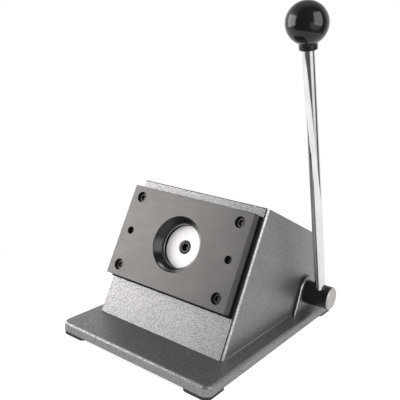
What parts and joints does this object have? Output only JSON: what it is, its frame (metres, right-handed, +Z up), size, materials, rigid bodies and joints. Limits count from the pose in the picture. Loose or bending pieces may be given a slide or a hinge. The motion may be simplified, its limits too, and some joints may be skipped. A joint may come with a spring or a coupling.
{
  "type": "badge circle cutter",
  "caption": "Desk cutter with a sloping die set on a painted body; pulling the ball lever turns a cam that pushes a round punch through the die to cut paper discs.",
  "frame": {"origin": "on the floor plane under the middle of the overall box", "axes": "+X to the lever side, which is the user's right, +Y to the back, +Z up"},
  "size_m": [0.2148, 0.2596, 0.3484],
  "materials": {
    "hammertone_paint": "hammertone",
    "foot_rubber": "matt",
    "zinc_screw": "zinc plated",
    "black_screw": "black oxide",
    "stripper_steel": "black oxide",
    "die_steel": "black oxide, ground",
    "pin_steel": "hardened",
    "punch_steel": "ground",
    "ground_steel": "ground",
    "hard_steel": "hardened",
    "guide_iron": "cast",
    "bronze": "turned",
    "spring_steel": "drawn wire",
    "shaft_steel": "black oxide",
    "chrome_rod": "polished",
    "knob_black": "polished",
    "insert_brass": "turned"
  },
  "bodies": {
    "frame": {"base_plate": "hammertone_paint", "rubber_feet": "foot_rubber", "foot_screws": "zinc_screw", "left_wall": "hammertone_paint", "right_wall": "hammertone_paint", "wall_screws": "black_screw", "front_plate": "hammertone_paint", "front_plate_screws": "zinc_screw", "rear_cover": "hammertone_paint", "cover_screws": "black_screw", "stripper_plate": "stripper_steel", "left_spacer": "stripper_steel", "right_spacer": "stripper_steel", "die_plate": "die_steel", "die_screws": "black_screw", "dowel_pins": "pin_steel", "ram_guide": "guide_iron", "guide_liner": "bronze", "guide_screws": "black_screw", "return_spring": "spring_steel", "left_bush": "bronze", "right_bush": "bronze", "stop_bar": "ground_steel"},
    "lever": {"shaft": "shaft_steel", "retaining_ring": "hard_steel", "cam": "hard_steel", "cam_key": "ground_steel", "cam_set_screw": "black_screw", "lever_rod": "chrome_rod", "ball_knob": "knob_black", "knob_insert": "insert_brass"},
    "ram": {"ram": "ground_steel", "ram_pad": "hard_steel", "punch": "punch_steel", "punch_screw": "black_screw"}
  },
  "joints": [
    {"name": "lever_swing", "type": "hinge", "parent": "frame", "child": "lever", "pos_m": [0.0874, 0.08029, 0.03525], "axis": [1, 0, 0], "range_deg": [0, 70]},
    {"name": "ram_slide", "type": "slide", "parent": "frame", "child": "ram", "axis": [0, -0.9063, 0.4226], "range_m": [0, 0.01], "stiffness_N_per_m": 3000, "springref_m": -0.015, "deforming": ["return_spring"]}
  ],
  "couplings": [
    {"joint": "ram_slide", "follows": "lever_swing", "m_per_rad": 0.008185}
  ]
}
